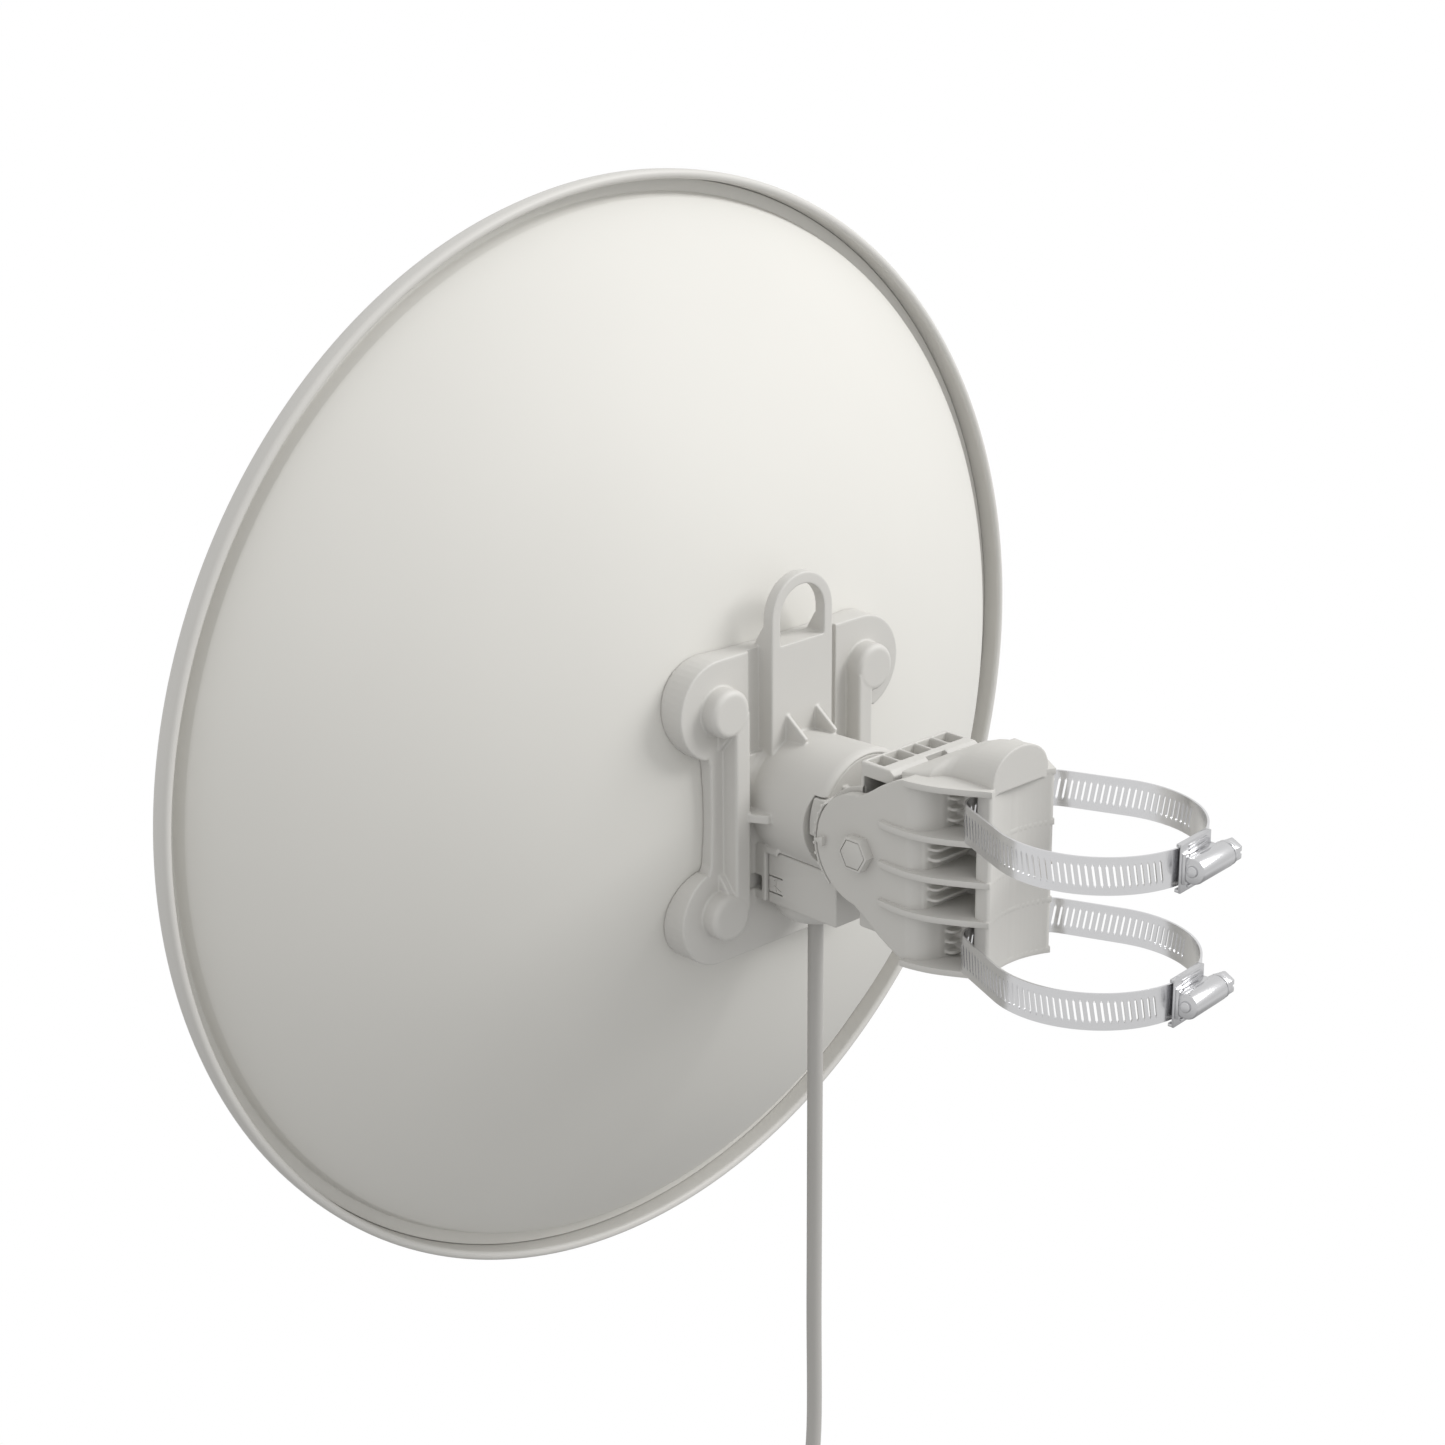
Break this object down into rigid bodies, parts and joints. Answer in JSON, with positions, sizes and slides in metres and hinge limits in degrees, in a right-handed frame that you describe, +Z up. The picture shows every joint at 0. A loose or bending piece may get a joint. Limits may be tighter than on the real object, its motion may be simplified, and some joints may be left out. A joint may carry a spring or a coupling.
{
  "type": "pole mounted dish antenna",
  "caption": "Round dish antenna with a shallow radome, a rear housing with a cable bay, a tilting knuckle and a ribbed bracket held to a mast by two worm drive bands.",
  "frame": {"origin": "where the dish's own axis, at rest, crosses the mast's axis", "axes": "+Z up along the mast, the dish looks along -Y, +X to the right when seen from the front"},
  "size_m": [0.4, 0.2995, 0.616],
  "materials": {
    "weathered_white_plastic": "fine textured, warm off-white",
    "white_painted_sheet": "powder coated white",
    "stainless_steel": "bright rolled and plated steel",
    "grey_rubber": "matte",
    "grey_cable_jacket": "smooth extruded jacket",
    "green_board": "solder mask",
    "clear_plug_plastic": "clear, modelled opaque",
    "white_dielectric": "natural white"
  },
  "bodies": {
    "bracket": {"pole_bracket": "weathered_white_plastic", "upper_band": "stainless_steel", "upper_clamp_housing": "stainless_steel", "lower_band": "stainless_steel", "lower_clamp_housing": "stainless_steel", "tilt_bolt": "stainless_steel", "tilt_washer": "stainless_steel"},
    "head": {"tilt_knuckle": "weathered_white_plastic", "rear_housing": "weathered_white_plastic", "reflector": "white_painted_sheet", "radome": "weathered_white_plastic", "rim_seal": "grey_rubber", "feed_waveguide": "stainless_steel", "feed_cone": "white_dielectric", "sub_reflector": "stainless_steel", "circuit_board": "green_board", "board_shield": "stainless_steel", "ethernet_jack": "stainless_steel", "inner_plug": "clear_plug_plastic", "cable_cup": "weathered_white_plastic", "cable_grommet": "grey_rubber", "housing_screw_1": "stainless_steel", "housing_screw_2": "stainless_steel", "housing_screw_3": "stainless_steel", "housing_screw_4": "stainless_steel", "cable_lead": "grey_cable_jacket", "cable_coil": "grey_cable_jacket", "coil_tie": "grey_rubber", "cable_tail": "grey_cable_jacket", "cable_plug": "clear_plug_plastic"},
    "door": {"cable_door": "weathered_white_plastic"},
    "nut": {"tilt_nut": "stainless_steel"},
    "upper_screw": {"upper_clamp_screw": "stainless_steel"},
    "lower_screw": {"lower_clamp_screw": "stainless_steel"}
  },
  "joints": [
    {"name": "elevation", "type": "hinge", "parent": "bracket", "child": "head", "pos_m": [0, -0.077, 0], "axis": [1, 0, 0], "range_deg": [-25, 25]},
    {"name": "nut_turn", "type": "hinge", "parent": "bracket", "child": "nut", "pos_m": [-0.0295, -0.077, 0], "axis": [1, 0, 0], "continuous": true},
    {"name": "upper_screw_turn", "type": "hinge", "parent": "bracket", "child": "upper_screw", "pos_m": [-0.00438, 0.03845, 0.0213], "axis": [-0.9936, -0.1132, 0], "continuous": true},
    {"name": "lower_screw_turn", "type": "hinge", "parent": "bracket", "child": "lower_screw", "pos_m": [-0.00438, 0.03845, -0.0231], "axis": [-0.9936, -0.1132, 0], "continuous": true},
    {"name": "door_slide", "type": "slide", "parent": "head", "child": "door", "axis": [0, 1, 0], "range_m": [0, 0.012]}
  ]
}
